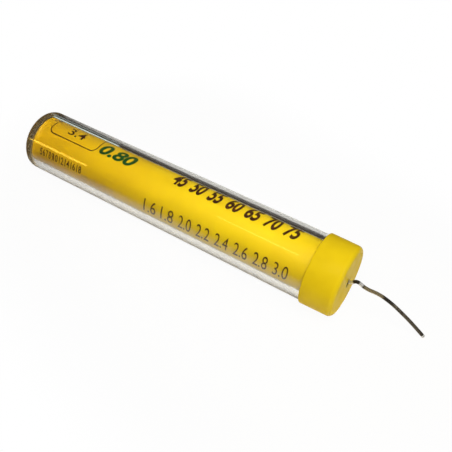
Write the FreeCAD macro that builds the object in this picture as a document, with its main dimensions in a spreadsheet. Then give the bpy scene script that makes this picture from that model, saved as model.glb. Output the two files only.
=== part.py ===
import FreeCAD, Part
import math
import os
import re
import Sketcher

# Pocket dispenser for solder wire. A clear tube with one closed end holds a rolled card, and the wire
# lies coiled inside the roll. The wire's end runs back through the middle of the coil and leaves through
# a hole in the soft cap that is pushed onto the open end.
# Sizes are millimetres. Stations along the tube are counted from the outside of its closed end, heights
# and depths from its middle line. Placements then put the origin under the middle, on the surface that
# the cap rests on, with +X from the closed end to the cap and +Z up.

doc = FreeCAD.newDocument("solder_dispenser")
sheet = doc.addObject("Spreadsheet::Sheet", "sizes")

driving_sizes = {
    "tube_diameter": 16.0,
    "tube_wall": 1.6,
    "tube_length": 88.3,
    "closed_end_wall": 1.2,
    "closed_end_edge_round": 0.9,
    "closed_end_inner_bevel": 0.5,
    "mouth_bevel": 0.2,
    "cap_length": 7.7,
    "cap_wall": 0.45,
    "cap_end_wall": 1.1,
    "cap_fit": 0.05,
    "cap_seat_gap": 0.1,
    "cap_draft": 0.1,
    "cap_edge_round": 1.0,
    "cap_rim_bevel": 0.2,
    "cap_hole_diameter": 1.9,
    "cap_hole_bevel": 0.2,
    "card_thickness": 0.25,
    "card_standoff": 0.2,
    "card_seat_gap": 0.1,
    "card_end_gap": 1.2,
    "card_mouth_gap": 0.6,
    "card_start_angle": 260.0,
    "card_roll_angle": 317.0,
    "card_flare_angle": 83.0,
    "wire_diameter": 0.8,
    "core_diameter": 0.3,
    "core_fit": 0.02,
    "core_length": 2.0,
    "coil_clearance": 0.3,
    "coil_end_clearance": 0.4,
    "coil_length": 77.6,
    "coil_loops": 9,
    "tail_bend_radius": 1.6,
    "feed_joint_gap": 0.1,
    "feed_lift": 0.35,
    "feed_straight_run": 60.0,
}
for row, (alias, value) in enumerate(driving_sizes.items(), start=1):
    sheet.set("A%d" % row, alias)
    sheet.set("B%d" % row, repr(value))
    sheet.setAlias("B%d" % row, alias)
doc.recompute()


def size(alias):
    """A driving size as the sheet holds it."""
    return float(sheet.get(alias))


def named(formula):
    """A formula in bare size names, written with the sheet's name before each of them."""
    return re.sub(r"\b(%s)\b" % "|".join(driving_sizes), r"sizes.\1", formula)


def evaluate(formula):
    """The number that a formula in bare size names gives, read by the sheet."""
    return float(sheet.evalExpression(named(formula)))


# Formulas that more than one piece uses.
OVERALL_LENGTH = "(tube_length + cap_seat_gap + cap_end_wall)"
TUBE_RADIUS = "(tube_diameter / 2)"
BORE_RADIUS = "(tube_diameter / 2 - tube_wall)"
CAP_BORE_RADIUS = "(tube_diameter / 2 + cap_fit)"
CAP_RADIUS = "(tube_diameter / 2 + cap_fit + cap_wall)"
CARD_RADIUS = "(tube_diameter / 2 - tube_wall - card_standoff)"

tube_radius = size("tube_diameter") / 2
overall_length = size("tube_length") + size("cap_seat_gap") + size("cap_end_wall")
cap_radius = tube_radius + size("cap_fit") + size("cap_wall")


def place(piece, station="0"):
    """Puts a piece's own zero at a station of the tube, in the part's frame."""
    piece.setExpression("Placement.Base.x", named("%s - %s / 2" % (station, OVERALL_LENGTH)))
    piece.setExpression("Placement.Base.z", named(CAP_RADIUS))


def turned_body(label, corners):
    """A body turned about X from a closed profile of (station, radius) formulas."""
    body = doc.addObject("PartDesign::Body", label)
    body.Label = label
    sketch = body.newObject("Sketcher::SketchObject", label + "_profile")
    plane = [f for f in body.Origin.OriginFeatures if f.Role == "XY_Plane"][0]
    sketch.AttachmentSupport = [(plane, "")]
    sketch.MapMode = "FlatFace"
    guesses = [FreeCAD.Vector(evaluate(x), evaluate(r), 0) for x, r in corners]
    for index, start in enumerate(guesses):
        sketch.addGeometry(Part.LineSegment(start, guesses[(index + 1) % len(guesses)]), False)
    for index in range(len(corners)):
        sketch.addConstraint(Sketcher.Constraint("Coincident", index, 2, (index + 1) % len(corners), 1))
    for index, (x, r) in enumerate(corners):
        for direction, axis, formula in (("DistanceX", -2, x), ("DistanceY", -1, r)):
            if formula == "0":
                sketch.addConstraint(Sketcher.Constraint("PointOnObject", index, 1, axis))
                continue
            number = sketch.addConstraint(
                Sketcher.Constraint(direction, -1, 1, index, 1, evaluate(formula)))
            sketch.setExpression("Constraints[%d]" % number, named(formula))
    turn = body.newObject("PartDesign::Revolution", label + "_turn")
    turn.Profile = sketch
    turn.ReferenceAxis = (sketch, ["H_Axis"])
    turn.Angle = 360.0
    doc.recompute()
    return body


def dress_edges(body, feature, label, formula, station, radius):
    """Rounds or bevels the circular edges of a body that lie at a station and have a radius."""
    found = []
    for index, edge in enumerate(body.Tip.Shape.Edges, start=1):
        curve = edge.Curve
        if not isinstance(curve, Part.Circle):
            continue
        at_station = abs(curve.Center.x - evaluate(station)) < 1e-4
        if at_station and abs(curve.Radius - evaluate(radius)) < 1e-4:
            found.append("Edge%d" % index)
    base = body.Tip
    dressing = body.newObject("PartDesign::" + feature, label)
    dressing.Base = (base, found)
    dressing.setExpression("Radius" if feature == "Fillet" else "Size", named(formula))
    doc.recompute()


# The tube, one clear moulding: a straight wall and a flat closed end with a rounded edge.
tube = turned_body("tube", [
    ("0", "0"),
    ("0", TUBE_RADIUS),
    ("tube_length", TUBE_RADIUS),
    ("tube_length", BORE_RADIUS),
    ("closed_end_wall", BORE_RADIUS),
    ("closed_end_wall", "0"),
])
dress_edges(tube, "Fillet", "closed_end_edge", "closed_end_edge_round", "0", TUBE_RADIUS)
dress_edges(tube, "Chamfer", "closed_end_corner", "closed_end_inner_bevel", "closed_end_wall", BORE_RADIUS)
dress_edges(tube, "Chamfer", "mouth_outer_edge", "mouth_bevel", "tube_length", TUBE_RADIUS)
dress_edges(tube, "Chamfer", "mouth_inner_edge", "mouth_bevel", "tube_length", BORE_RADIUS)
place(tube)

# The cap, a soft moulding whose thin skirt grips the outside of the tube. Its zero is its rim.
cap = turned_body("cap", [
    ("0", CAP_BORE_RADIUS),
    ("0", CAP_RADIUS),
    ("cap_length", CAP_RADIUS + " - cap_draft"),
    ("cap_length", "cap_hole_diameter / 2"),
    ("cap_length - cap_end_wall", "cap_hole_diameter / 2"),
    ("cap_length - cap_end_wall", CAP_BORE_RADIUS),
])
dress_edges(cap, "Fillet", "cap_end_edge", "cap_edge_round", "cap_length", CAP_RADIUS + " - cap_draft")
dress_edges(cap, "Chamfer", "cap_rim_edge", "cap_rim_bevel", "0", CAP_RADIUS)
dress_edges(cap, "Chamfer", "cap_hole_edge", "cap_hole_bevel", "cap_length", "cap_hole_diameter / 2")
place(cap, OVERALL_LENGTH + " - cap_length")


# The card, rolled a little past one full turn. The roll is round where it shows, and its outer end
# springs out until it lies against the tube's bore, on the side that faces the surface.
def card_cylinder(label, radius, angle, start_angle):
    """A cylinder or sector along X whose sector starts at an angle counted from +Y towards +Z."""
    piece = doc.addObject("Part::Cylinder", label)
    piece.setExpression("Radius", radius)
    piece.setExpression("Angle", angle)
    piece.setExpression("Height", named("tube_length - closed_end_wall - card_end_gap - card_mouth_gap"))
    along = FreeCAD.Rotation(FreeCAD.Vector(0, 1, 0), 90)
    spin = FreeCAD.Rotation(FreeCAD.Vector(1, 0, 0), start_angle - 270)
    piece.Placement = FreeCAD.Placement(FreeCAD.Vector(0, 0, 0), spin * along)
    return piece


def card_band(label, outer, bore):
    """What is left of one cylinder when another is taken from it."""
    band = doc.addObject("Part::Cut", label)
    band.Base = outer
    band.Tool = bore
    return band


flare_start = size("card_start_angle") + size("card_roll_angle")
flare_sine = math.sin(math.radians(flare_start))
flare_cosine = math.cos(math.radians(flare_start))
card_outer = named(CARD_RADIUS)
card_inner = named(CARD_RADIUS + " - card_thickness")
flare = doc.addObject("App::FeaturePython", "card_flare")
for name in ("EndRadius", "Shift", "Sweep"):
    flare.addProperty("App::PropertyFloat", name)
flare.setExpression("EndRadius", named(BORE_RADIUS + " - card_seat_gap"))
flare.setExpression("Shift", "(EndRadius ^ 2 - (%s) ^ 2) / (2 * (%s - EndRadius * cos(%s)))" % (
    card_outer, card_outer, named("card_flare_angle")))
flare.setExpression("Sweep", "atan2(EndRadius * sin(%s); EndRadius * cos(%s) + Shift) / 1 deg" % (
    named("card_flare_angle"), named("card_flare_angle")))
roll = card_band(
    "card_roll",
    card_cylinder("card_roll_face", card_outer, named("card_roll_angle"), size("card_start_angle")),
    card_cylinder("card_roll_bore", card_inner, "360", size("card_start_angle")))
flare_face = card_cylinder("card_flare_face", card_outer + " + card_flare.Shift", "card_flare.Sweep", flare_start)
flare_bore = card_cylinder("card_flare_bore", card_inner + " + card_flare.Shift", "360", flare_start)
for piece in (flare_face, flare_bore):
    piece.setExpression("Placement.Base.y", "-card_flare.Shift * %r" % flare_cosine)
    piece.setExpression("Placement.Base.z", "-card_flare.Shift * %r" % flare_sine)
label_insert = doc.addObject("Part::Fuse", "label_insert")
label_insert.Label = "label_insert"
label_insert.Base = roll
label_insert.Tool = card_band("card_flare_band", flare_face, flare_bore)
label_insert.Refine = True
place(label_insert, "(closed_end_wall + card_end_gap)")
doc.recompute()


def arc_middle(start, corner, end):
    """The middle point of the arc that is tangent to start-corner and corner-end, equal in length."""
    weight = (end - start).Length / 2 / (corner - start).Length
    return (start + corner * (2 * weight) + end) * (1 / (2 + 2 * weight))


def biarc(start, start_tangent, end, end_tangent):
    """Two arcs, tangent to each other, from one point and direction to another."""
    chord = end - start
    both = chord.dot(start_tangent + end_tangent)
    spread = 2 * (1 - start_tangent.dot(end_tangent))
    if spread < 1e-9:
        leg = chord.dot(chord) / (2 * both)
    else:
        leg = (math.sqrt(both ** 2 + spread * chord.dot(chord)) - both) / spread
    first_corner = start + start_tangent * leg
    second_corner = end - end_tangent * leg
    join = (first_corner + second_corner) * 0.5
    return [
        Part.Arc(start, arc_middle(start, first_corner, join), join).toShape(),
        Part.Arc(join, arc_middle(join, second_corner, end), end).toShape(),
    ]


def tube_along(edges, radius, sides=0):
    """A tube along edges that follow each other, tangent. It is round, or has flat sides to save faces."""
    path = Part.Wire(edges)
    start = path.OrderedEdges[0]
    point = start.valueAt(start.FirstParameter)
    direction = start.tangentAt(start.FirstParameter)
    circle = Part.makeCircle(radius, point, direction)
    ring = Part.makePolygon(circle.discretize(sides + 1)) if sides else Part.Wire(circle)
    return path.makePipeShell([ring], True, False), path.Length


def least_gap(edges, diameter, step, apart):
    """The least gap between stretches of a tube that are further apart along it than a length."""
    points = []
    for edge in edges:
        points.extend(edge.discretize(max(3, int(edge.Length / step)))[1:])
    skip = int(apart / step)
    least = math.inf
    for index, here in enumerate(points):
        for there in points[index + skip:index + 6 * skip]:
            least = min(least, (there - here).Length)
    return least - diameter


# The stored wire: one layer of loops that fills the card roll. Its last loop turns in to the middle at
# the closed end and points back towards the cap.
wire_radius = size("wire_diameter") / 2
bore_radius = tube_radius - size("tube_wall")
card_bore_radius = bore_radius - size("card_standoff") - size("card_thickness")
coil_radius = card_bore_radius - size("coil_clearance") - wire_radius
coil_start = size("closed_end_wall") + size("coil_end_clearance") + wire_radius
loops = int(size("coil_loops"))
pitch = size("coil_length") / loops


def loop_point(turns):
    """Point and direction on the loops, counted in turns back from where they end at the closed end."""
    angle = -2 * math.pi * turns
    station = coil_start + pitch * turns
    point = FreeCAD.Vector(station, coil_radius * math.cos(angle), coil_radius * math.sin(angle))
    direction = FreeCAD.Vector(-pitch / (2 * math.pi), -coil_radius * math.sin(angle),
                               coil_radius * math.cos(angle))
    return point, direction.normalize()


X = FreeCAD.Vector(1, 0, 0)
Z = FreeCAD.Vector(0, 0, 1)
COIL_SIDES = 6
wire_end_run = size("wire_diameter")
first_point, first_direction = loop_point(loops)
coil_edges = [Part.LineSegment(first_point - first_direction * wire_end_run, first_point).toShape()]
quarters = 4 * loops
for quarter in range(quarters, 0, -1):
    start, start_direction = loop_point(quarter / 4)
    end, end_direction = loop_point((quarter - 1) / 4)
    if quarter == 1:
        end_direction = Z
    coil_edges += biarc(start, start_direction, end, end_direction)
tail_middle = FreeCAD.Vector(coil_start, 0, 0)
bend = size("tail_bend_radius")
tail_turned = tail_middle + FreeCAD.Vector(bend, 0, -bend)
half_radius = coil_radius / 2
tail_top = FreeCAD.Vector(coil_start, half_radius, half_radius)
bend_centre = tail_middle + X * bend
bend_middle = bend_centre + FreeCAD.Vector(-bend, 0, -bend) * math.sqrt(0.5)
tail_end = tail_turned + X * wire_end_run
coil_edges += [
    Part.Arc(loop_point(0)[0], tail_top, tail_middle).toShape(),
    Part.Arc(tail_middle, bend_middle, tail_turned).toShape(),
    Part.LineSegment(tail_turned, tail_end).toShape(),
]
solder_coil = doc.addObject("Part::Feature", "solder_coil")
solder_coil.Label = "solder_coil"
solder_coil.Shape, coil_wire_length = tube_along(coil_edges, wire_radius, COIL_SIDES)
place(solder_coil)
print("coil: %d loops, radius %.2f, wire %.1f mm" % (loops, coil_radius, coil_wire_length))
print("coil: least gap to itself %.2f mm" % least_gap(coil_edges, 2 * wire_radius, 0.5, 6.0))

# The wire's end: from the coil's tail it rises to the level of the cap's hole, runs straight through
# the hole, hooks up where it leaves, then droops to the surface. Points are station, depth and height.
hole_station = overall_length
hook_station = hole_station + 0.5
level = size("feed_lift")
surface = -cap_radius
feed_route = [
    tail_end + X * size("feed_joint_gap"),
    FreeCAD.Vector(tail_end.x + 6.0, 0, tail_end.z),
    FreeCAD.Vector(hook_station - size("feed_straight_run"), 0, level),
    FreeCAD.Vector(hook_station, 0, level),
    FreeCAD.Vector(hole_station + 1.7, 0.15, 1.95),
    FreeCAD.Vector(hole_station + 3.8, 0.4, 0.35),
    FreeCAD.Vector(hole_station + 6.8, 0.7, 0.3),
    FreeCAD.Vector(hole_station + 9.8, 1.0, -1.1),
    FreeCAD.Vector(hole_station + 12.5, 1.3, -3.1),
    FreeCAD.Vector(hole_station + 15.4, 1.6, -5.4),
    FreeCAD.Vector(hole_station + 18.3, 1.9, surface + wire_radius),
]


def route_edges(route):
    """Straight runs of a route joined by tangent arcs, each as large as its two runs allow."""
    edges = []
    radii = []
    here = route[0]
    for before, corner, after in zip(route, route[1:], route[2:]):
        back = (before - corner)
        ahead = (after - corner)
        cut = 0.45 * min(back.Length, ahead.Length)
        turn = math.pi - back.getAngle(ahead)
        arc_start = corner + back.normalize() * cut
        arc_end = corner + ahead.normalize() * cut
        radii.append(cut / math.tan(turn / 2))
        edges.append(Part.LineSegment(here, arc_start).toShape())
        edges.append(Part.Arc(arc_start, arc_middle(arc_start, corner, arc_end), arc_end).toShape())
        here = arc_end
    edges.append(Part.LineSegment(here, route[-1]).toShape())
    return edges, radii


feed_edges, feed_radii = route_edges(feed_route)
feed_wire = doc.addObject("Part::Feature", "feed_wire")
feed_wire.Shape, feed_length = tube_along(feed_edges, wire_radius)
print("feed: length %.2f mm, radii %s" % (feed_length, ", ".join("%.2f" % radius for radius in feed_radii)))


def core_cylinder(label, radius):
    """A cylinder along the wire's last straight run, up to its cut end."""
    towards_tip = (feed_route[-1] - feed_route[-2]).normalize()
    piece = doc.addObject("Part::Cylinder", label)
    piece.setExpression("Radius", named(radius))
    piece.setExpression("Height", named("core_length"))
    piece.Placement = FreeCAD.Placement(
        feed_route[-1] - towards_tip * size("core_length"), FreeCAD.Rotation(Z, towards_tip))
    return piece


# The core of flux, where the wire's cut end shows it.
solder_feed = doc.addObject("Part::Cut", "solder_feed")
solder_feed.Label = "solder_feed"
solder_feed.Base = feed_wire
solder_feed.Tool = core_cylinder("core_bore", "core_diameter / 2 + core_fit")
place(solder_feed)
flux_core = core_cylinder("flux_core", "core_diameter / 2")
flux_core.Label = "flux_core"
flux_core.Placement.Base += FreeCAD.Vector(-overall_length / 2, 0, cap_radius)

doc.recompute()
pieces = [tube, cap, label_insert, solder_coil, solder_feed, flux_core]
for thing in doc.Objects:
    if "Invalid" in thing.State or "Error" in thing.State:
        raise RuntimeError("%s is in state %s" % (thing.Label, thing.State))
for piece in pieces:
    if piece.Shape.isNull() or not piece.Shape.isValid() or not piece.Shape.Solids:
        raise RuntimeError("%s has no valid solid" % piece.Label)
os.makedirs("parts", exist_ok=True)
for piece in pieces:
    piece.Shape.exportStep(os.path.join("parts", piece.Label + ".step"))
    box = piece.Shape.BoundBox
    print("%-13s volume %9.3f  x %.2f to %.2f  y %.2f to %.2f  z %.2f to %.2f" % (
        piece.Label, piece.Shape.Volume, box.XMin, box.XMax, box.YMin, box.YMax, box.ZMin, box.ZMax))
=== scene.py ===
import math

import bmesh
import bpy
import numpy as np
from mathutils import Matrix, Vector


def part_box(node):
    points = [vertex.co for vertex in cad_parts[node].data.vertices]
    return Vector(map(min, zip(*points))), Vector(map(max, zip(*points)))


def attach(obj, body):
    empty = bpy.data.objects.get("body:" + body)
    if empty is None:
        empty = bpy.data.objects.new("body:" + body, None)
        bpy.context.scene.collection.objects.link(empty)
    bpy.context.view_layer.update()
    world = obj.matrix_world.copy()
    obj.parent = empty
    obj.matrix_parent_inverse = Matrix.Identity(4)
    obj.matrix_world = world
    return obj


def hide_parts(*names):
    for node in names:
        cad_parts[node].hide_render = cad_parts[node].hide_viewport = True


# A pocket dispenser for solder wire: a clear tube with one closed end, a rolled card printed in brown
# and green, the wire coiled inside the roll, and a soft yellow cap that the wire's end comes out of.
# Lengths are metres. A station is counted along the tube from the outside of its closed end.
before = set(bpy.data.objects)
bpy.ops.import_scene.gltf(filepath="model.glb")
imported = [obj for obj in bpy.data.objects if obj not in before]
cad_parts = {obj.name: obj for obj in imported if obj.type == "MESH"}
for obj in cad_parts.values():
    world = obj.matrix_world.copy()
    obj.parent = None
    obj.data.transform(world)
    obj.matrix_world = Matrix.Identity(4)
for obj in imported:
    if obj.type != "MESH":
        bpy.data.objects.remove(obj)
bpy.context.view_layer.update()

# The tube: one clear moulding of styrene, closed at its left end. It came off a polished core, so both
# faces are glossy. Carrying it about has left faint rubs on it outside and scuffed its closed rim.
# The brown-orange tint of that rim is painted light, the card's yellow glowing in the end wall.
tube_low, tube_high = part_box("tube")
CLOSED_END = tube_low.x
AXIS_HEIGHT = (tube_low.z + tube_high.z) / 2
TUBE_RADIUS = (tube_high.z - tube_low.z) / 2
TUBE_LENGTH = tube_high.x - tube_low.x
TUBE_WALL = 0.0016
CLOSED_END_WALL = 0.0012
CLOSED_END_ROUND = 0.0009
CLOSED_END_CORNER = 0.0005
MOUTH_ROUND = 0.0002
BORE_RADIUS = TUBE_RADIUS - TUBE_WALL
STYRENE = (0.965, 0.975, 0.97, 1.0)
STYRENE_IOR = 1.55
RIM_PASSES, RIM_BLEND = 0.45, 0.3
# Painted light: the rim's brown-orange tint stands for the card's yellow glowing in the end wall; the scuff
# is real.
RIM_PAINTED_LIGHT_TINT = (0.86, 0.50, 0.06, 1.0)
SCUFFED_ROUGHNESS = 0.58
RIM_SCUFF_AND_TINT_LENGTH = 0.0022
RIM_SCUFF_AND_TINT_INSIDE, RIM_SCUFF_AND_TINT_FULL = 0.0024, 0.0042
GRAIN_SHARE = 0.4
# A ring of points this far past each round keeps the long walls' smooth shading straight.
ROUND_END_STEP = 0.0001


def arc(station, radius, size, start, end, steps=8):
    """Points (station, radius) on a quarter circle of a size about a centre, from one angle to another."""
    angles = np.radians(np.linspace(start, end, steps + 1))
    return np.stack([station + size * np.cos(angles), radius + size * np.sin(angles)], axis=1)


def mesh_piece(name, points, faces, uvs=None, smooth=True):
    """An object from arrays of points and faces, with one UV pair for each corner if they are given."""
    mesh = bpy.data.meshes.new(name)
    mesh.from_pydata(points.tolist(), [], faces.tolist())
    if uvs is not None:
        layer = mesh.uv_layers.new(name="surface")
        layer.data.foreach_set("uv", np.asarray(uvs, np.float32).ravel())
    mesh.polygons.foreach_set("use_smooth", np.full(len(mesh.polygons), smooth))
    mesh.update()
    piece = bpy.data.objects.new(name, mesh)
    bpy.context.scene.collection.objects.link(piece)
    return piece


def close_skin(piece):
    """Merges the points that meet at poles and seams, and turns every face outwards."""
    shape = bmesh.new()
    shape.from_mesh(piece.data)
    bmesh.ops.remove_doubles(shape, verts=shape.verts, dist=1e-7)
    bmesh.ops.recalc_face_normals(shape, faces=shape.faces)
    shape.to_mesh(piece.data)
    shape.free()
    return piece


def turned_piece(name, profile, around=192):
    """A closed skin turned about the tube's middle line.

    A point of the profile at (station s, radius r) sweeps the circle y = r cos(t), z = r sin(t) about
    the middle line. Points at radius 0 become one pole each, closed by a fan of triangles."""
    profile = np.asarray(profile, float)
    angles = np.linspace(0, 2 * math.pi, around, endpoint=False)
    station, radius = profile[:, :1], profile[:, 1:]
    grid = np.stack([
        np.broadcast_to(CLOSED_END + station, (len(profile), around)),
        radius * np.cos(angles),
        AXIS_HEIGHT + radius * np.sin(angles),
    ], axis=2)
    index = np.arange(len(profile) * around).reshape(len(profile), around)
    here, ahead = index[:-1], index[1:]
    quads = np.stack([here, np.roll(here, -1, 1), np.roll(ahead, -1, 1), ahead], axis=2).reshape(-1, 4)
    return close_skin(mesh_piece(name, grid.reshape(-1, 3), quads))


def patches_and_grain():
    """The pattern under every finish here: soft patches blend a clean and a worn colour, patches and
    fine grain together blend two roughnesses, and the grain alone is a height for relief.

    Both are noises read at Place times Stretch; a patch grows from Patch Start to Patch Full."""
    group = bpy.data.node_groups.new("patches_and_grain", "ShaderNodeTree")
    wanted = (("Place", "Vector", None), ("Stretch", "Vector", (1.0, 1.0, 1.0)),
              ("Patch Scale", "Float", 150.0), ("Grain Scale", "Float", 2500.0),
              ("Patch Start", "Float", 0.4), ("Patch Full", "Float", 0.7),
              ("Clean Colour", "Color", None), ("Worn Colour", "Color", None),
              ("Clean Roughness", "Float", 0.3), ("Worn Roughness", "Float", 0.5))
    for name, kind, value in wanted:
        socket = group.interface.new_socket(name, in_out="INPUT", socket_type="NodeSocket" + kind)
        if value is not None:
            socket.default_value = value
    for name, kind in (("Colour", "Color"), ("Roughness", "Float"), ("Grain", "Float")):
        group.interface.new_socket(name, in_out="OUTPUT", socket_type="NodeSocket" + kind)
    nodes, join = group.nodes, group.links.new
    given = nodes.new("NodeGroupInput").outputs
    taken = nodes.new("NodeGroupOutput").inputs
    stretched = nodes.new("ShaderNodeVectorMath")
    stretched.operation = "MULTIPLY"
    join(given["Place"], stretched.inputs[0])
    join(given["Stretch"], stretched.inputs[1])
    patch_noise, grain_noise = nodes.new("ShaderNodeTexNoise"), nodes.new("ShaderNodeTexNoise")
    for noise, scale, detail in ((patch_noise, "Patch Scale", 4.0), (grain_noise, "Grain Scale", 3.0)):
        noise.inputs["Detail"].default_value = detail
        join(stretched.outputs["Vector"], noise.inputs["Vector"])
        join(given[scale], noise.inputs["Scale"])
    patches = nodes.new("ShaderNodeMapRange")
    patches.interpolation_type = "SMOOTHSTEP"
    join(patch_noise.outputs["Fac"], patches.inputs["Value"])
    join(given["Patch Start"], patches.inputs["From Min"])
    join(given["Patch Full"], patches.inputs["From Max"])
    colour = nodes.new("ShaderNodeMix")
    colour.data_type = "RGBA"
    join(patches.outputs["Result"], colour.inputs[0])
    join(given["Clean Colour"], colour.inputs[6])
    join(given["Worn Colour"], colour.inputs[7])
    both = nodes.new("ShaderNodeMath")
    both.operation = "MULTIPLY_ADD"
    both.inputs[1].default_value = GRAIN_SHARE
    both.use_clamp = True
    join(grain_noise.outputs["Fac"], both.inputs[0])
    join(patches.outputs["Result"], both.inputs[2])
    roughness = nodes.new("ShaderNodeMapRange")
    join(both.outputs["Value"], roughness.inputs["Value"])
    join(given["Clean Roughness"], roughness.inputs["To Min"])
    join(given["Worn Roughness"], roughness.inputs["To Max"])
    join(colour.outputs[2], taken["Colour"])
    join(roughness.outputs["Result"], taken["Roughness"])
    join(grain_noise.outputs["Fac"], taken["Grain"])
    return group


wear = patches_and_grain()


def finish(name, clean, worn, roughness, patch, grain, stretch=(1.0, 1.0, 1.0), relief=(0.0, 0.0)):
    """A material on the piece's Object coordinates with the pattern on its colour, roughness and relief.

    roughness is (clean, worn), patch is (scale, start, full), and relief is (strength, depth)."""
    material = bpy.data.materials.new(name)
    material.use_nodes = True
    nodes, join = material.node_tree.nodes, material.node_tree.links.new
    shader = nodes["Principled BSDF"]
    place = nodes.new("ShaderNodeTexCoord").outputs["Object"]
    pattern = nodes.new("ShaderNodeGroup")
    pattern.node_tree = wear
    values = {"Stretch": stretch, "Patch Scale": patch[0], "Patch Start": patch[1], "Patch Full": patch[2],
              "Grain Scale": grain, "Clean Roughness": roughness[0], "Worn Roughness": roughness[1]}
    if clean is not None:
        values.update({"Clean Colour": clean, "Worn Colour": worn})
        join(pattern.outputs["Colour"], shader.inputs["Base Color"])
    for socket, value in values.items():
        pattern.inputs[socket].default_value = value
    join(place, pattern.inputs["Place"])
    join(pattern.outputs["Roughness"], shader.inputs["Roughness"])
    if relief[0]:
        bump = nodes.new("ShaderNodeBump")
        bump.inputs["Strength"].default_value = relief[0]
        bump.inputs["Distance"].default_value = relief[1]
        join(pattern.outputs["Grain"], bump.inputs["Height"])
        join(bump.outputs["Normal"], shader.inputs["Normal"])
    return material, nodes, join, shader, place, pattern


def near(nodes, join, place, centre, weights, start, full):
    """A mask that is 0 up to a distance from a point and 1 from a further one, the axes weighted first.

    With the further distance given as the start, it is 1 near the point and 0 away from it."""
    offset = nodes.new("ShaderNodeMapping")
    offset.inputs["Location"].default_value = [-c * w for c, w in zip(centre, weights)]
    offset.inputs["Scale"].default_value = weights
    length = nodes.new("ShaderNodeVectorMath")
    length.operation = "LENGTH"
    mask = nodes.new("ShaderNodeMapRange")
    mask.interpolation_type = "SMOOTHSTEP"
    mask.inputs["From Min"].default_value = start
    mask.inputs["From Max"].default_value = full
    join(place, offset.inputs["Vector"])
    join(offset.outputs["Vector"], length.inputs[0])
    join(length.outputs["Value"], mask.inputs["Value"])
    return mask.outputs["Result"]


def clear_styrene():
    """Clear glossy plastic with faint lengthwise rubs; its closed rim is scuffed and tinted brown-orange.

    The tint is painted light, the card's yellow glowing in the end wall. It keeps to the rim and leaves
    the middle of the closed end clear. Lamps light through the plastic, and less so where it is turned
    away from them."""
    material, nodes, join, shader, place, pattern = finish(
        "clear_styrene", None, None, roughness=(0.003, 0.024), patch=(24.0, 0.50, 0.75), grain=60.0,
        stretch=(0.5, 4.0, 4.0), relief=(0.02, 0.0001))
    shader.inputs["IOR"].default_value = STYRENE_IOR
    shader.inputs["Transmission Weight"].default_value = 1.0
    # The rim mask carries both the painted light of the tint and the real scuff's roughness.
    clean = nodes.new("ShaderNodeMath")
    clean.operation = "MAXIMUM"
    join(near(nodes, join, place, (CLOSED_END, 0, 0), (1, 0, 0), 0.0, RIM_SCUFF_AND_TINT_LENGTH), clean.inputs[0])
    join(near(nodes, join, place, (0, 0, AXIS_HEIGHT), (0, 1, 1), RIM_SCUFF_AND_TINT_FULL, RIM_SCUFF_AND_TINT_INSIDE), clean.inputs[1])
    colour = nodes.new("ShaderNodeMix")
    colour.data_type = "RGBA"
    colour.inputs[6].default_value = RIM_PAINTED_LIGHT_TINT
    colour.inputs[7].default_value = STYRENE
    roughness = nodes.new("ShaderNodeMix")
    roughness.inputs[2].default_value = SCUFFED_ROUGHNESS
    join(clean.outputs["Value"], colour.inputs[0])
    join(clean.outputs["Value"], roughness.inputs[0])
    join(pattern.outputs["Roughness"], roughness.inputs[3])
    join(colour.outputs[2], shader.inputs["Base Color"])
    join(roughness.outputs[0], shader.inputs["Roughness"])
    turned_away = nodes.new("ShaderNodeLayerWeight")
    turned_away.inputs["Blend"].default_value = RIM_BLEND
    passed = nodes.new("ShaderNodeMapRange")
    passed.inputs["To Min"].default_value = 1.0
    passed.inputs["To Max"].default_value = RIM_PASSES
    join(turned_away.outputs["Facing"], passed.inputs["Value"])
    clear = nodes.new("ShaderNodeBsdfTransparent")
    join(passed.outputs["Result"], clear.inputs["Color"])
    rays = nodes.new("ShaderNodeLightPath")
    both = nodes.new("ShaderNodeMixShader")
    join(rays.outputs["Is Shadow Ray"], both.inputs["Fac"])
    join(shader.outputs["BSDF"], both.inputs[1])
    join(clear.outputs["BSDF"], both.inputs[2])
    join(both.outputs["Shader"], nodes["Material Output"].inputs["Surface"])
    return material


tube_profile = np.concatenate([
    [[0.0, 0.0], [0.0, TUBE_RADIUS / 2], [0.0, TUBE_RADIUS - CLOSED_END_ROUND - ROUND_END_STEP]],
    arc(CLOSED_END_ROUND, TUBE_RADIUS - CLOSED_END_ROUND, CLOSED_END_ROUND, 180, 90),
    [[CLOSED_END_ROUND + ROUND_END_STEP, TUBE_RADIUS]],
    [[TUBE_LENGTH - MOUTH_ROUND - ROUND_END_STEP, TUBE_RADIUS]],
    arc(TUBE_LENGTH - MOUTH_ROUND, TUBE_RADIUS - MOUTH_ROUND, MOUTH_ROUND, 90, 0, 4),
    arc(TUBE_LENGTH - MOUTH_ROUND, BORE_RADIUS + MOUTH_ROUND, MOUTH_ROUND, 0, -90, 4),
    [[TUBE_LENGTH - MOUTH_ROUND - ROUND_END_STEP, BORE_RADIUS]],
    [[CLOSED_END_WALL + CLOSED_END_CORNER + ROUND_END_STEP, BORE_RADIUS]],
    arc(CLOSED_END_WALL + CLOSED_END_CORNER, BORE_RADIUS - CLOSED_END_CORNER, CLOSED_END_CORNER, 90, 180),
    [[CLOSED_END_WALL, BORE_RADIUS - CLOSED_END_CORNER - ROUND_END_STEP]],
    [[CLOSED_END_WALL, BORE_RADIUS / 2], [CLOSED_END_WALL, 0.0]],
])
clear_tube = turned_piece("clear_tube", tube_profile)
clear_tube.data.materials.append(clear_styrene())
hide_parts("tube")
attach(clear_tube, "tube")

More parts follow.
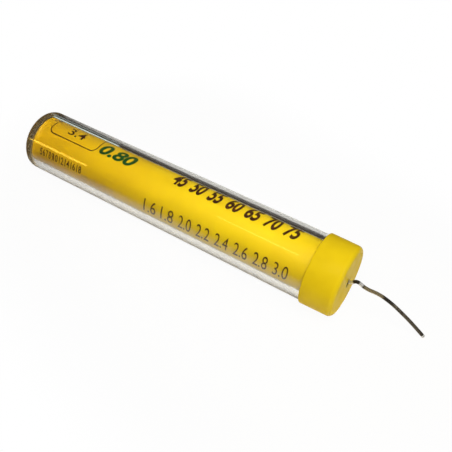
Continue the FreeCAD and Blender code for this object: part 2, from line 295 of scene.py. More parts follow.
# The card: a rectangle of coated yellow board, rolled a little past one full turn and slipped into the
# tube. The roll is round where it shows, and its outer end springs out towards the bore underneath.
CARD_GAP = 0.0006
CARD_START = CLOSED_END + CLOSED_END_WALL + CARD_GAP
CARD_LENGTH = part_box("label_insert")[1].x - CARD_START
CARD_RADIUS = 0.0062
CARD_THICKNESS = 0.00025
CARD_FIRST_ANGLE = math.radians(260)
CARD_ROLL = math.radians(317)
CARD_FLARE = math.radians(83)
CARD_END_GAP = 0.0001
CARD_END_RADIUS = BORE_RADIUS - CARD_END_GAP
CARD_COLUMNS, CARD_STEPS = 41, 241
BOARD_FIBRES = (0.4, 1.0, 1.0)
BOARD_GLOSS = 0.3
CARD_YELLOW = (0.92, 0.645, 0.004, 1.0)
CARD_DEEP_YELLOW = (0.86, 0.58, 0.003, 1.0)
# Painted shade: the board is deepened towards the closed end of the tube.
CARD_PAINTED_SHADE = (0.84, 0.46, 0.002, 1.0)
SHADE_START, SHADE_LENGTH = -0.01, 0.060
# Painted shade: darker brown specks low on the front of the card, near the closed end.
CARD_SPECKED_SHADE = (0.50, 0.27, 0.02, 1.0)
SPECKED_SHADE_PLACE = (CLOSED_END + 0.024, -0.0061, AXIS_HEIGHT + 0.0004)
SPECKED_SHADE_SHAPE = (0.22, 1, 1)
SPECKED_SHADE_MOST, SPECKED_SHADE_LEAST = 0.0006, 0.0030
SHADE_SPECKS = 1.2
BOARD_GREY = (0.52, 0.47, 0.38, 1.0)
BOARD_BROWN = (0.42, 0.36, 0.26, 1.0)


def card_radius(angle):
    """The outer face's radius at an angle run from the roll's start: even, then widening to the bore.

    Past the roll's end it grows by the square of the share of the flare that has been run."""
    share = np.clip((angle - CARD_ROLL) / CARD_FLARE, 0, 1)
    return CARD_RADIUS + (CARD_END_RADIUS - CARD_RADIUS) * share ** 2


def on_roll(along, around, lift):
    """Points of the roll: x from the card's left edge, angle run from its start, lift above its face."""
    radius = card_radius(around) + lift
    angle = CARD_FIRST_ANGLE + around
    place = (CARD_START + along, radius * np.cos(angle), AXIS_HEIGHT + radius * np.sin(angle))
    return np.stack(np.broadcast_arrays(*place), axis=-1)


def rolled_card():
    """The board as a closed skin: its outer face, its far edge, its inner face and its near edge.

    A loop of points runs round the section and is carried along X, and its UV is metres along the card
    and metres around the roll."""
    columns = np.linspace(0, CARD_LENGTH, CARD_COLUMNS)
    run = np.linspace(0, CARD_ROLL + CARD_FLARE, CARD_STEPS)
    around = np.concatenate([run, run[::-1]])
    lift = np.concatenate([np.zeros(len(run)), np.full(len(run), -CARD_THICKNESS)])
    points = on_roll(columns[:, None], around[None], lift[None])
    index = np.arange(points.shape[0] * points.shape[1]).reshape(points.shape[:2])
    here, ahead = index[:-1], index[1:]
    walls = np.stack([here, np.roll(here, -1, 1), np.roll(ahead, -1, 1), ahead], axis=2).reshape(-1, 4)
    half = len(run)
    ends = []
    for row, flip in ((index[0], -1), (index[-1], 1)):
        outer, inner = row[:half], row[half:][::-1]
        ends.append(np.stack([outer[:-1], inner[:-1], inner[1:], outer[1:]], axis=1)[:, ::flip])
    faces = np.concatenate([walls, *ends])
    flat = np.stack(np.broadcast_arrays(columns[:, None], CARD_RADIUS * around[None]), axis=2).reshape(-1, 2)
    card = mesh_piece("rolled_card", points.reshape(-1, 3), faces, flat[faces.ravel()], smooth=False)
    outer_walls = np.tile(np.arange(len(around)) < half - 1, len(columns) - 1)
    slots = np.ones(len(faces), np.int32)
    slots[:len(walls)][outer_walls] = 0
    card.data.polygons.foreach_set("material_index", slots)
    smooth = np.zeros(len(faces), bool)
    smooth[:len(walls)] = True
    card.data.polygons.foreach_set("use_smooth", smooth)
    return card


def coated_board():
    """Coated yellow board, deepened towards the closed end of the tube and darkened in brown specks low in
    front; both are painted shade.
    """
    material, nodes, join, shader, place, pattern = finish(
        "yellow_coated_board", CARD_YELLOW, CARD_DEEP_YELLOW, roughness=(0.36, 0.50),
        patch=(140.0, 0.35, 0.75), grain=2600.0, stretch=BOARD_FIBRES, relief=(0.12, 0.00005))
    shader.inputs["Specular IOR Level"].default_value = BOARD_GLOSS
    # Painted shade, deeper towards the closed end.
    unshaded = near(nodes, join, place, (CLOSED_END, 0, 0), (1, 0, 0), SHADE_START, SHADE_LENGTH)
    colour = nodes.new("ShaderNodeMix")
    colour.data_type = "RGBA"
    colour.inputs[6].default_value = CARD_PAINTED_SHADE
    join(unshaded, colour.inputs[0])
    join(pattern.outputs["Colour"], colour.inputs[7])
    # Painted shade in darker brown specks, low in front.
    outside_specks = nodes.new("ShaderNodeMath")
    outside_specks.operation = "MULTIPLY_ADD"
    outside_specks.use_clamp = True
    outside_specks.inputs[1].default_value = SHADE_SPECKS
    join(pattern.outputs["Grain"], outside_specks.inputs[0])
    speck_area = near(nodes, join, place, SPECKED_SHADE_PLACE, SPECKED_SHADE_SHAPE, SPECKED_SHADE_MOST, SPECKED_SHADE_LEAST)
    join(speck_area, outside_specks.inputs[2])
    specked = nodes.new("ShaderNodeMix")
    specked.data_type = "RGBA"
    specked.inputs[6].default_value = CARD_SPECKED_SHADE
    join(outside_specks.outputs["Value"], specked.inputs[0])
    join(colour.outputs[2], specked.inputs[7])
    join(specked.outputs[2], shader.inputs["Base Color"])
    return material


rolled = rolled_card()
rolled.data.materials.append(coated_board())
rolled.data.materials.append(finish(
    "bare_board_back", BOARD_GREY, BOARD_BROWN, roughness=(0.70, 0.85), patch=(500.0, 0.4, 0.7), grain=4000.0,
    stretch=BOARD_FIBRES, relief=(0.25, 0.00005))[0])
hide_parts("label_insert")
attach(rolled, "tube")

# The print: ink on the card's face, read from the cap's right with the closed end at the left. It has a
# rounded frame round the wire's metres, a green wire size, and scales in millimetres and in inches.
INK_THICKNESS = 0.000015
INK_LIFT = 0.00001
INCH = 0.0254
BROWN_INK = (0.048, 0.011, 0.002, 1.0)
BROWN_INK_BROKEN = (0.110, 0.045, 0.006, 1.0)
THIN_INK = (0.082, 0.034, 0.003, 1.0)
THIN_INK_BROKEN = (0.150, 0.080, 0.008, 1.0)
GREEN_INK = (0.008, 0.075, 0.010, 1.0)
GREEN_INK_BROKEN = (0.030, 0.140, 0.020, 1.0)
INK_GLOSS = 0.2
NUMERAL_TOP = 0.75
FRAME_LINE = 0.00026
FRAME_LEFT, FRAME_RIGHT, FRAME_HEIGHT = 0.0048, 0.0204, 0.0060
FRAME_CORNER = 0.0016
FRAME_BASE = 109.0
METRES_STATION, METRES_BASE = 0.0126, 96.0
METRES_HEIGHT, METRES_WIDTH, METRES_WEIGHT = 0.0022, 0.0052, 0.01
SIZE_MARK_STATION, SIZE_MARK_BASE = 0.0266, 106.0
SIZE_MARK_HEIGHT, SIZE_MARK_WIDTH = 0.0032, 0.0108
BOLD_BASE, BOLD_HEIGHT, BOLD_WIDTH = 98.5, 0.0039, 0.0038
BOLD_SLANT, BOLD_WEIGHT = 0.25, 0.035
THIN_BASE, THIN_HEIGHT, THIN_WIDTH = 178.0, 0.0031, 0.0036
SMALL_BASE, SMALL_HEIGHT, SMALL_DIGIT, SMALL_WEIGHT = 165.8, 0.0018, 0.00074, 0.012


def on_card(flat, base):
    """Flat print (station, height up the card) laid on the roll above a base line.

    The base is in degrees round the roll, from the back over the top to the front. A height of h turns a
    point back round the roll by h over the roll's radius."""
    angle = math.radians(base) - flat[:, 1] / CARD_RADIUS
    run = np.mod(angle - CARD_FIRST_ANGLE, 2 * math.pi)
    return on_roll(CLOSED_END + flat[:, 0] - CARD_START, run, INK_LIFT)


def printed(name, flat, faces, base, material):
    """A thin film of ink from flat points and faces, laid on the roll with its edge closed."""
    piece = mesh_piece(name, on_card(flat, base), faces, smooth=False)
    film = piece.modifiers.new("film", "SOLIDIFY")
    film.thickness = INK_THICKNESS
    film.offset = 1.0
    piece.data.materials.append(material)
    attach(piece, "tube")
    return piece


def rounded_frame():
    """A closed line round a rectangle with quarter-circle corners, as wide as the pen."""
    sides = ((FRAME_RIGHT, FRAME_HEIGHT, 0), (FRAME_LEFT, FRAME_HEIGHT, 90),
             (FRAME_LEFT, 0, 180), (FRAME_RIGHT, 0, 270))
    path = []
    for x, y, start in sides:
        turn = np.radians(np.linspace(start, start + 90, 9))
        centre_x = x - math.copysign(FRAME_CORNER, x - (FRAME_LEFT + FRAME_RIGHT) / 2)
        centre_y = y - math.copysign(FRAME_CORNER, y - FRAME_HEIGHT / 2)
        corner = [centre_x + FRAME_CORNER * np.cos(turn), centre_y + FRAME_CORNER * np.sin(turn)]
        path.append(np.stack(corner, axis=1))
    corners = np.concatenate(path)
    steps = np.linspace(0, 1, 12, endpoint=False)[:, None]
    centre = np.concatenate([a + (b - a) * steps for a, b in zip(corners, np.roll(corners, -1, 0))])
    along = np.roll(centre, -1, 0) - np.roll(centre, 1, 0)
    side = np.stack([along[:, 1], -along[:, 0]], 1) / np.linalg.norm(along, axis=1)[:, None]
    flat = np.concatenate([centre + side * FRAME_LINE / 2, centre - side * FRAME_LINE / 2])
    outer = np.arange(len(centre))
    inner = outer + len(centre)
    faces = np.stack([outer, np.roll(outer, -1), np.roll(inner, -1), inner], axis=1)
    return flat, faces


def numerals(text, height, width, slant=0.0, weight=0.0):
    """Flat points and triangles of numerals as wide and high as stated, on a base line, centred at 0.

    The outlines are cut by level lines, up to the numerals' top before they are sized, so that they bend
    with the roll."""
    letters = bpy.data.curves.new("numerals", "FONT")
    letters.body = text
    letters.shear = slant
    letters.offset = weight
    letters.resolution_u = 5
    writing = bpy.data.objects.new("numerals", letters)
    flat_mesh = bpy.data.meshes.new_from_object(writing)
    shape = bmesh.new()
    shape.from_mesh(flat_mesh)
    bmesh.ops.remove_doubles(shape, verts=shape.verts, dist=1e-5)
    for level in np.linspace(0, NUMERAL_TOP, 10)[1:]:
        everything = shape.verts[:] + shape.edges[:] + shape.faces[:]
        bmesh.ops.bisect_plane(shape, geom=everything, plane_co=(0, level, 0), plane_no=(0, 1, 0))
    bmesh.ops.triangulate(shape, faces=shape.faces[:])
    bmesh.ops.recalc_face_normals(shape, faces=shape.faces[:])
    shape.to_mesh(flat_mesh)
    shape.free()
    points = np.empty(len(flat_mesh.vertices) * 3)
    corners = np.empty(len(flat_mesh.loops), np.int32)
    flat_mesh.vertices.foreach_get("co", points)
    flat_mesh.loops.foreach_get("vertex_index", corners)
    flat, faces = points.reshape(-1, 3)[:, :2], corners.reshape(-1, 3)
    bpy.data.objects.remove(writing)
    bpy.data.curves.remove(letters)
    bpy.data.meshes.remove(flat_mesh)
    low, high = flat.min(0), flat.max(0)
    flat = (flat - (low + high) * (0.5, 0) - low * (0, 1)) * (width, height) / (high - low)
    corner = flat[faces]
    first, second = corner[:, 1] - corner[:, 0], corner[:, 2] - corner[:, 0]
    turned = first[:, 0] * second[:, 1] - first[:, 1] * second[:, 0] < 0
    faces[turned] = faces[turned][:, ::-1]
    return flat, faces


def scale_row(name, stations, texts, height, widths, base, material, **style):
    """One row of numbers, each centred at the station that it stands for."""
    parts = [numerals(text, height, width, **style) for text, width in zip(texts, widths)]
    starts = np.cumsum([0] + [len(flat) for flat, _ in parts[:-1]])
    flat = np.concatenate([flat + (station, 0) for station, (flat, _) in zip(stations, parts)])
    faces = np.concatenate([faces + start for start, (_, faces) in zip(starts, parts)])
    return printed(name, flat, faces, base, material)


def printing_ink(name, colour, broken):
    """Ink that has dried matt and thin, with its colour broken in small patches."""
    ink = finish(name, colour, broken, roughness=(0.45, 0.60), patch=(1500.0, 0.55, 0.85), grain=4000.0)[0]
    ink.node_tree.nodes["Principled BSDF"].inputs["Specular IOR Level"].default_value = INK_GLOSS
    return ink


brown_ink = printing_ink("brown_ink", BROWN_INK, BROWN_INK_BROKEN)
thin_ink = printing_ink("thin_brown_ink", THIN_INK, THIN_INK_BROKEN)
green_ink = printing_ink("green_ink", GREEN_INK, GREEN_INK_BROKEN)
printed("printed_frame", *rounded_frame(), FRAME_BASE, brown_ink)
scale_row("printed_metres", [METRES_STATION], ["3.4"], METRES_HEIGHT, [METRES_WIDTH], METRES_BASE, brown_ink,
          weight=METRES_WEIGHT)
scale_row("printed_wire_size", [SIZE_MARK_STATION], ["0.80"], SIZE_MARK_HEIGHT, [SIZE_MARK_WIDTH],
          SIZE_MARK_BASE, green_ink, slant=BOLD_SLANT, weight=BOLD_WEIGHT)

bold_marks = np.arange(45, 80, 5)
scale_row("printed_millimetres", bold_marks / 1000, [str(mark) for mark in bold_marks], BOLD_HEIGHT,
          [BOLD_WIDTH] * len(bold_marks), BOLD_BASE, brown_ink, slant=BOLD_SLANT, weight=BOLD_WEIGHT)

thin_marks = np.arange(16, 32, 2) / 10
scale_row("printed_inches", thin_marks * INCH, [str(mark) for mark in thin_marks], THIN_HEIGHT,
          [THIN_WIDTH] * len(thin_marks), THIN_BASE, thin_ink)

small_marks = np.array([5, 6, 7, 8, 9, 10, 12, 14, 16, 18])
small_texts = [str(mark) for mark in small_marks]
scale_row("printed_small_millimetres", small_marks / 1000, small_texts, SMALL_HEIGHT,
          [SMALL_DIGIT * len(text) for text in small_texts], SMALL_BASE, thin_ink, weight=SMALL_WEIGHT)

# The stored wire: soft tin alloy wire wound in one close layer on a mandrel and let go inside the card
# roll. At the closed end it turns in to the middle and points back along the tube to the cap.
WIRE_DIAMETER = 0.0008
COIL_RADIUS = 0.00525
COIL_START = 0.0017
COIL_LENGTH = 0.0779
COIL_LOOPS = 96
POINTS_PER_LOOP = 16
TAIL_BEND = 0.0016
TAIL_BULGE = 1.1
TAIL_MIDDLE = 0.0002
TAIL_TURN, TAIL_REACH = 0.0014, 0.0027
TIN_BRIGHT = (0.14, 0.115, 0.080, 1.0)
TIN_FLUXED = (0.055, 0.044, 0.033, 1.0)
TIN_METALLIC = 0.7


def drawn_alloy(name):
    """Drawn tin alloy under a thin film of flux that browns it in patches, with fine draw marks."""
    material, nodes, join, shader, place, pattern = finish(
        name, TIN_FLUXED, TIN_BRIGHT, roughness=(0.58, 0.34), patch=(150.0, 0.50, 0.62), grain=5200.0,
        relief=(0.25, 0.00002))
    shader.inputs["Metallic"].default_value = TIN_METALLIC
    return material, nodes, join, shader, place, pattern


def wire_piece(name, points, material, smoothness):
    """A round wire on one smooth NURBS line whose control points are the route's points."""
    line = bpy.data.curves.new(name, "CURVE")
    line.dimensions = "3D"
    line.bevel_depth = WIRE_DIAMETER / 2
    line.bevel_resolution = smoothness
    line.use_fill_caps = True
    line.resolution_u = 4
    spline = line.splines.new("NURBS")
    spline.points.add(len(points) - 1)
    spline.points.foreach_set("co", np.column_stack([points, np.ones(len(points))]).ravel())
    spline.order_u = 3
    spline.use_endpoint_u = True
    line.materials.append(material)
    piece = bpy.data.objects.new(name, line)
    bpy.context.scene.collection.objects.link(piece)
    return piece


def in_frame(points):
    """Points given as station, depth and height from the middle line, moved into the part's frame."""
    return np.asarray(points) + np.array([CLOSED_END, 0.0, AXIS_HEIGHT])


# A quadratic spline with its control points on a circle reaches this share of the circle's radius.
spline_share = (1 + math.cos(2 * math.pi / POINTS_PER_LOOP)) / 4 + 0.5
loop_angle = -2 * math.pi * np.arange(COIL_LOOPS * POINTS_PER_LOOP, -1, -1) / POINTS_PER_LOOP
loops = np.stack([
    COIL_START - COIL_LENGTH / COIL_LOOPS * loop_angle / (2 * math.pi),
    COIL_RADIUS / spline_share * np.cos(loop_angle),
    COIL_RADIUS / spline_share * np.sin(loop_angle),
], axis=1)
half_turn = np.radians([40, 75, 105, 140])
tail_in = np.stack([
    np.full(4, COIL_START),
    COIL_RADIUS / 2 * (1 + TAIL_BULGE * np.cos(half_turn)),
    COIL_RADIUS / 2 * TAIL_BULGE * np.sin(half_turn),
], axis=1)
tail_out = [(COIL_START, 0.0, TAIL_MIDDLE), (COIL_START, 0.0, -TAIL_BEND),
            (COIL_START + TAIL_TURN, 0.0, -TAIL_BEND), (COIL_START + TAIL_REACH, 0.0, -TAIL_BEND)]
coil_points = in_frame(np.concatenate([loops, tail_in, tail_out]))
coil_wire = wire_piece("coiled_wire", coil_points, drawn_alloy("drawn_tin_alloy")[0], 2)
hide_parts("solder_coil")
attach(coil_wire, "tube")

# The wire's end: the same wire, drawn back through the middle of the coil and out through the cap. It was
# bent up where it left the hole and has kept its droop, and its nipped end is bright round the flux core.
FEED_ROUTE = [
    (0.0045, 0.0, -0.0016),
    (0.0104, 0.0, -0.0016),
    (0.0300, 0.0, 0.00035),
    (0.0880, 0.0, 0.00035),
    (0.0900, 0.0, 0.00035),
    (0.0912, 0.00015, 0.00195),
    (0.0933, 0.0004, 0.00035),
    (0.0963, 0.0007, 0.0003),
    (0.0993, 0.0010, -0.0011),
    (0.1020, 0.0013, -0.0031),
    (0.1049, 0.0016, -0.0054),
    (0.1078, 0.0019, -0.0081),
]
CORE_RADIUS = 0.00016
CORE_PROUD = 0.00003
CORE_STEM = 0.0003
# The gold and two of the bright spots on the wire are painted highlights; the bright cut end is real.
SPOT_EDGE = 1.6
BRIGHT_HIGHLIGHT_AND_CUT = (0.80, 0.78, 0.74, 1.0)
PAINTED_GOLD_HIGHLIGHT = (0.42, 0.335, 0.185, 1.0)
AMBER = (0.45, 0.20, 0.035, 1.0)
AMBER_PALE = (0.62, 0.34, 0.08, 1.0)


def flux_tip(end, towards):
    """The core where it shows: a low dome on the cut end, with a short stem into the wire.

    Rings of radius r = R sin(a) stand at height h = P cos(a) over the cut, and the last ring goes in."""
    angles = np.linspace(0, math.pi / 2, 7)
    radius = np.append(CORE_RADIUS * np.sin(angles), [CORE_RADIUS, 0.0])
    height = np.append(CORE_PROUD * np.cos(angles), [-CORE_STEM, -CORE_STEM])
    turn = np.linspace(0, 2 * math.pi, 24, endpoint=False)
    ahead = towards / np.linalg.norm(towards)
    aside = np.cross(ahead, (0.0, 1.0, 0.0))
    aside /= np.linalg.norm(aside)
    third = np.cross(ahead, aside)
    ring = np.cos(turn)[:, None] * aside + np.sin(turn)[:, None] * third
    points = end + height[:, None, None] * ahead + radius[:, None, None] * ring
    index = np.arange(len(radius) * len(turn)).reshape(len(radius), len(turn))
    here, after = index[:-1], index[1:]
    quads = np.stack([here, np.roll(here, -1, 1), np.roll(after, -1, 1), after], axis=2).reshape(-1, 4)
    return close_skin(mesh_piece("flux_tip", points.reshape(-1, 3), quads))


def nipped_alloy(spots):
    """The drawn alloy again with bright spots, each a place, a size and the colour that shows there. The
    spots where the wire bends out of the hole are painted highlights; the one at the end is its real cut.
    """
    material, nodes, join, shader, place, pattern = drawn_alloy("nipped_tin_alloy")
    colour = pattern.outputs["Colour"]
    for spot, size, spot_colour in spots:
        blend = nodes.new("ShaderNodeMix")
        blend.data_type = "RGBA"
        blend.inputs[6].default_value = spot_colour
        join(near(nodes, join, place, spot, (1, 1, 1), size, size * SPOT_EDGE), blend.inputs[0])
        join(colour, blend.inputs[7])
        colour = blend.outputs[2]
    join(colour, shader.inputs["Base Color"])
    return material


feed_points = in_frame(FEED_ROUTE)


def on_feed(point, share):
    """A place on the feed's route, at a share of the run from one of its points to the next."""
    return feed_points[point] * (1 - share) + feed_points[point + 1] * share


# Painted highlights: a gold reflection and two bright glints where the wire bends out of the hole. The last
# spot is the wire's real bright cut end.
highlight_and_cut_spots = [
    (on_feed(6, 0.60), 0.0017, PAINTED_GOLD_HIGHLIGHT),
    (on_feed(4, 0.20), 0.0006, BRIGHT_HIGHLIGHT_AND_CUT),
    (on_feed(5, 0.45), 0.0005, BRIGHT_HIGHLIGHT_AND_CUT),
    (feed_points[-1], 0.0005, BRIGHT_HIGHLIGHT_AND_CUT),
]
feed_wire = wire_piece("feed_wire", feed_points, nipped_alloy(highlight_and_cut_spots), 6)
feed_wire.data.resolution_u = 16
tip = flux_tip(feed_points[-1], feed_points[-1] - feed_points[-2])
tip.data.materials.append(finish(
    "amber_rosin", AMBER, AMBER_PALE, roughness=(0.15, 0.35), patch=(6000.0, 0.35, 0.7), grain=9000.0)[0])
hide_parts("flux_core")
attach(tip, "wire")
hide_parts("solder_feed")
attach(feed_wire, "wire")

# The cap: a soft satin vinyl moulding. Its thin skirt is stretched over the tube's mouth, its end is a
# thick low dome with a well rounded edge, and the hole in the middle lets the wire through with room.
cap_low, cap_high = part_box("cap")
CAP_LENGTH = cap_high.x - cap_low.x
CAP_RADIUS = (cap_high.z - cap_low.z) / 2
CAP_FIT = 0.00005
CAP_BORE = TUBE_RADIUS + CAP_FIT
CAP_END_WALL = 0.0011
CAP_CORNER = 0.00005
CAP_DRAFT = 0.0001
DRAFT_STATION, DRAFT_SHARE = 0.003, 0.4
CAP_DOME = 0.00005
CAP_EDGE_ROUND = 0.0012
CAP_RIM_ROUND = 0.00018
CAP_HOLE_RADIUS = 0.00095
CAP_HOLE_ROUND = 0.0002
CAP_YELLOW = (0.93, 0.645, 0.006, 1.0)
CAP_DEEP_YELLOW = (0.87, 0.590, 0.005, 1.0)
FLUX_STAIN = (0.62, 0.50, 0.10, 1.0)
STAIN_EDGE = 0.0006
VINYL_GLOSS = 0.12
VINYL_COAT, VINYL_COAT_ROUGHNESS = 0.12, 0.20


def soft_vinyl(hole):
    """Satin vinyl: clouded colour, fine mould grain, dull scuffs, and a flux stain round the hole."""
    material, nodes, join, shader, place, pattern = finish(
        "soft_yellow_vinyl", CAP_YELLOW, CAP_DEEP_YELLOW, roughness=(0.44, 0.62), patch=(170.0, 0.40, 0.72),
        grain=2600.0, relief=(0.12, 0.00004))
    shader.inputs["Specular IOR Level"].default_value = VINYL_GLOSS
    shader.inputs["Coat Weight"].default_value = VINYL_COAT
    shader.inputs["Coat Roughness"].default_value = VINYL_COAT_ROUGHNESS
    clean = near(nodes, join, place, hole, (1, 1, 1), CAP_HOLE_RADIUS, CAP_HOLE_RADIUS + STAIN_EDGE)
    colour = nodes.new("ShaderNodeMix")
    colour.data_type = "RGBA"
    colour.inputs[6].default_value = FLUX_STAIN
    join(clean, colour.inputs[0])
    join(pattern.outputs["Colour"], colour.inputs[7])
    join(colour.outputs[2], shader.inputs["Base Color"])
    return material


cap_start = cap_low.x - CLOSED_END
cap_end = cap_start + CAP_LENGTH
cap_end_radius = CAP_RADIUS - CAP_DRAFT
dome_reach = cap_end_radius - CAP_EDGE_ROUND
dome_radius = np.linspace(CAP_HOLE_RADIUS + CAP_HOLE_ROUND, dome_reach, 9)[1:-1]
dome_station = cap_end - CAP_DOME * (dome_radius / dome_reach) ** 2
cap_profile = np.concatenate([
    [[cap_end - CAP_END_WALL, CAP_HOLE_RADIUS]],
    arc(cap_end - CAP_HOLE_ROUND, CAP_HOLE_RADIUS + CAP_HOLE_ROUND, CAP_HOLE_ROUND, -90, 0, 5),
    np.stack([dome_station, dome_radius], axis=1),
    arc(cap_end - CAP_DOME - CAP_EDGE_ROUND, dome_reach, CAP_EDGE_ROUND, 0, 90, 12),
    [[cap_start + DRAFT_STATION, CAP_RADIUS - CAP_DRAFT * DRAFT_SHARE]],
    arc(cap_start + CAP_RIM_ROUND, CAP_RADIUS - CAP_RIM_ROUND, CAP_RIM_ROUND, 90, 180, 5),
    [[cap_start, CAP_BORE + CAP_CORNER], [cap_start + CAP_CORNER, CAP_BORE]],
    [[cap_end - CAP_END_WALL - CAP_CORNER, CAP_BORE], [cap_end - CAP_END_WALL, CAP_BORE - CAP_CORNER]],
    [[cap_end - CAP_END_WALL, CAP_HOLE_RADIUS]],
])
vinyl_cap = turned_piece("vinyl_cap", cap_profile)
vinyl_cap.data.materials.append(soft_vinyl((CLOSED_END + cap_end, 0.0, AXIS_HEIGHT)))
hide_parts("cap")
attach(vinyl_cap, "cap")

# The studio: a table, warm white near the object and dark grey further off, that fades into white, soft
# light from the front and above, and the camera that took the picture, a little to the right of the tube
# and well above it.
CAMERA_PLACE = (0.06287, -0.07676, 0.10899)
CAMERA_AZIMUTH = math.radians(32.86)
CAMERA_ELEVATION = math.radians(47.84)
FOCAL_PIXELS = 574.7
PICTURE_PIXELS = 452
SENSOR_WIDTH = 36.0
TABLE_WHITE = (0.92, 0.89, 0.81, 1.0)
TABLE_GREY = (0.070, 0.050, 0.030, 1.0)
PALE_MIDDLE = (0.02, 0.0, 0.0)
PALE_TURN = math.radians(-12)
PALE_HALF_LENGTH = 0.038
PALE_EDGE_START = 0.0235
PALE_EDGE_END = 0.060
TABLE_REACH = 3.0
TABLE_ROUGHNESS, TABLE_GLOSS = 0.8, 0.1
# A painted contact shadow: in glass and gloss the table doesn't glow in a strip under the object.
PAINTED_SHADOW_WIDTH, PAINTED_SHADOW_END = 0.003, 0.007
PAINTED_SHADOW_HALF_LENGTH = 0.05
GLOW_NEAR = 0.95
GLOW_IN_GLASS_NEAR = 0.15
GLOW_IN_GLASS_FAR = 0.01
ROOM_LIGHT = 0.22
ROOM_IN_GLOSS = 0.05
ROOM_IN_GLASS = 0.06
ROOM_WHITE = (1.0, 1.0, 1.0, 1.0)
ROOM_BROWN = (1.0, 0.72, 0.36, 1.0)
WARM_LAMP = (1.0, 0.84, 0.30)
AMBER_LAMP = (1.0, 0.66, 0.08)
SKY_LAMP = (0.85, 1.0, 0.95)

right = Vector((math.cos(CAMERA_AZIMUTH), math.sin(CAMERA_AZIMUTH), 0.0))
ahead = Vector((-math.sin(CAMERA_AZIMUTH) * math.cos(CAMERA_ELEVATION),
                math.cos(CAMERA_AZIMUTH) * math.cos(CAMERA_ELEVATION), -math.sin(CAMERA_ELEVATION)))
turn = Matrix((right, right.cross(ahead), -ahead)).transposed().to_4x4()
camera = bpy.data.objects.new("camera", bpy.data.cameras.new("camera"))
camera.data.sensor_width = SENSOR_WIDTH
camera.data.lens = FOCAL_PIXELS / PICTURE_PIXELS * SENSOR_WIDTH
camera.data.clip_start = 0.005
camera.matrix_world = Matrix.Translation(CAMERA_PLACE) @ turn
bpy.context.scene.collection.objects.link(camera)
bpy.context.scene.camera = camera


def ray_shares(nodes, join, base, shares):
    """A value that starts at a base and gains a share of its own for each kind of ray."""
    rays = nodes.new("ShaderNodeLightPath")
    total = base
    for ray, share in shares:
        more = nodes.new("ShaderNodeMath")
        more.operation = "MULTIPLY_ADD"
        join(rays.outputs[ray], more.inputs[0])
        for socket, value in ((more.inputs[1], share), (more.inputs[2], total)):
            if isinstance(value, float):
                socket.default_value = value
            else:
                join(value, socket)
        total = more.outputs["Value"]
    return total


def from_line(nodes, join, place, middle, turned, half_length):
    """How far a place lies past the ends of a level line about a middle, and how far beside the line.

    The place is moved and turned until the line lies on X about 0. X then loses the half length, down to
    0, and Y stays."""
    level = nodes.new("ShaderNodeMapping")
    level.inputs["Location"].default_value = -(Matrix.Rotation(-turned, 3, "Z") @ Vector(middle))
    level.inputs["Rotation"].default_value = (0.0, 0.0, -turned)
    apart = nodes.new("ShaderNodeSeparateXYZ")
    along = nodes.new("ShaderNodeMath")
    along.operation = "ABSOLUTE"
    past_end = nodes.new("ShaderNodeMath")
    past_end.operation = "SUBTRACT"
    past_end.inputs[1].default_value = half_length
    past_end.use_clamp = True
    across = nodes.new("ShaderNodeCombineXYZ")
    join(place, level.inputs["Vector"])
    join(level.outputs["Vector"], apart.inputs["Vector"])
    join(apart.outputs["X"], along.inputs[0])
    join(along.outputs["Value"], past_end.inputs[0])
    join(past_end.outputs["Value"], across.inputs["X"])
    join(apart.outputs["Y"], across.inputs["Y"])
    return across.outputs["Vector"]


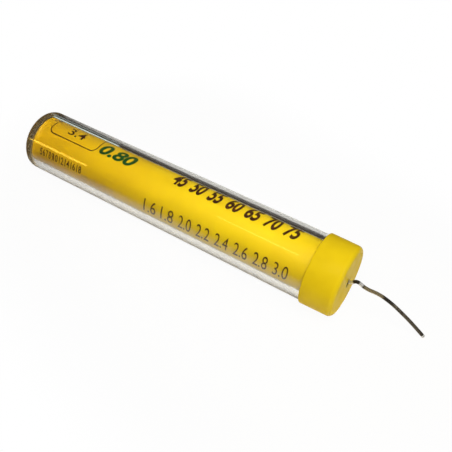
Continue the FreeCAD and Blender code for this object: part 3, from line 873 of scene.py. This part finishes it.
def table_material():
    """A table, warm white near the object and dark grey further off, lit by the lamps; what the camera sees
    of it fades into white.

    The white's edge is a soft step in the distance from a line that lies a little askew under the object.
    A share of the surface glows white: nearly all of it for the camera, and a little of it in glass and
    gloss, but for a strip under the object: there it doesn't glow in glass and gloss, a painted contact
    shadow."""
    material = bpy.data.materials.new("white_table")
    material.use_nodes = True
    nodes, join = material.node_tree.nodes, material.node_tree.links.new
    shader = nodes["Principled BSDF"]
    place = nodes.new("ShaderNodeTexCoord").outputs["Object"]
    from_pale = from_line(nodes, join, place, PALE_MIDDLE, PALE_TURN, PALE_HALF_LENGTH)
    edge = near(nodes, join, from_pale, (0, 0, 0), (1, 1, 1), PALE_EDGE_START, PALE_EDGE_END)
    colour = nodes.new("ShaderNodeMix")
    colour.data_type = "RGBA"
    colour.inputs[6].default_value = TABLE_WHITE
    colour.inputs[7].default_value = TABLE_GREY
    join(edge, colour.inputs[0])
    join(colour.outputs[2], shader.inputs["Base Color"])
    shader.inputs["Roughness"].default_value = TABLE_ROUGHNESS
    shader.inputs["Specular IOR Level"].default_value = TABLE_GLOSS
    shown = []
    for at_pale, beyond in ((GLOW_NEAR, 1.0), (GLOW_IN_GLASS_NEAR, GLOW_IN_GLASS_FAR)):
        level = nodes.new("ShaderNodeMapRange")
        level.inputs["To Min"].default_value = at_pale
        level.inputs["To Max"].default_value = beyond
        join(edge, level.inputs["Value"])
        shown.append(level.outputs["Result"])
    for_camera, in_gloss = shown
    # Painted contact shadow: no glow in glass and gloss under the object.
    outside_painted_shadow = nodes.new("ShaderNodeMath")
    outside_painted_shadow.operation = "MULTIPLY"
    from_object = from_line(nodes, join, place, (0.0, 0.0, 0.0), 0.0, PAINTED_SHADOW_HALF_LENGTH)
    join(near(nodes, join, from_object, (0, 0, 0), (1, 1, 1), PAINTED_SHADOW_WIDTH, PAINTED_SHADOW_END), outside_painted_shadow.inputs[0])
    join(in_gloss, outside_painted_shadow.inputs[1])
    share = ray_shares(nodes, join, 0.0, (
        ("Is Camera Ray", for_camera), ("Is Glossy Ray", outside_painted_shadow.outputs["Value"]),
        ("Is Transmission Ray", outside_painted_shadow.outputs["Value"])))
    glow = nodes.new("ShaderNodeEmission")
    fade = nodes.new("ShaderNodeMixShader")
    join(share, fade.inputs["Fac"])
    join(shader.outputs["BSDF"], fade.inputs[1])
    join(glow.outputs["Emission"], fade.inputs[2])
    join(fade.outputs["Shader"], nodes["Material Output"].inputs["Surface"])
    return material


table_corners = TABLE_REACH * np.array([[-1, -1, 0], [1, -1, 0], [1, 1, 0], [-1, 1, 0]])
table = mesh_piece("table_top", table_corners, np.array([[0, 1, 2, 3]]), smooth=False)
table.data.materials.append(table_material())


def studio_room():
    """The room round the table: white for the camera, a soft light on all that it shines on, weak in
    gloss, and weak and brown through glass.

    A ray that leaves glass counts as glossy too, so only the difference between the two is added to it."""
    room = bpy.data.worlds.new("studio")
    room.use_nodes = True
    nodes, join = room.node_tree.nodes, room.node_tree.links.new
    walls = nodes["Background"]
    colour = nodes.new("ShaderNodeMix")
    colour.data_type = "RGBA"
    colour.inputs[6].default_value = ROOM_WHITE
    colour.inputs[7].default_value = ROOM_BROWN
    join(nodes.new("ShaderNodeLightPath").outputs["Is Transmission Ray"], colour.inputs[0])
    join(colour.outputs[2], walls.inputs["Color"])
    strength = ray_shares(nodes, join, ROOM_LIGHT, (
        ("Is Camera Ray", 1.0 - ROOM_LIGHT), ("Is Glossy Ray", ROOM_IN_GLOSS - ROOM_LIGHT),
        ("Is Transmission Ray", ROOM_IN_GLASS - ROOM_IN_GLOSS)))
    join(strength, walls.inputs["Strength"])
    return room


bpy.context.scene.world = studio_room()


def soft_box(name, place, width, height, radiance, colour=(1.0, 1.0, 1.0)):
    """A rectangular lamp at a place, facing the tube's middle, its width level.

    Its power is its radiance times pi times its area."""
    lamp = bpy.data.lights.new(name, "AREA")
    lamp.shape = "RECTANGLE"
    lamp.size = width
    lamp.size_y = height
    lamp.energy = radiance * math.pi * width * height
    lamp.color = colour
    box = bpy.data.objects.new(name, lamp)
    back = (Vector(place) - Vector((0.0, 0.0, AXIS_HEIGHT))).normalized()
    side = (Vector((1, 0, 0)) - back * back.x).normalized()
    facing = Matrix((side, back.cross(side), back)).transposed().to_4x4()
    box.matrix_world = Matrix.Translation(place) @ facing
    box.visible_camera = False
    bpy.context.scene.collection.objects.link(box)
    return box


key_light = soft_box("key_light", (0.055, -0.053, 0.172), width=0.08, height=0.08, radiance=9.3)
key_light.visible_glossy = False
soft_box("side_fill", (0.384, -0.003, 0.223), width=0.09, height=0.09, radiance=12.0)
soft_box("overhead_strip", (-0.165, -0.245, 0.54), width=0.115, height=0.036, radiance=1.5, colour=WARM_LAMP)
soft_box("front_strip", (-0.528, -0.52, 0.263), width=0.14, height=0.055, radiance=7.4, colour=AMBER_LAMP)
soft_box("window", (-0.475, 0.56, 0.10), width=0.12, height=0.09, radiance=0.8, colour=SKY_LAMP)

bpy.context.scene.view_settings.view_transform = "Standard"
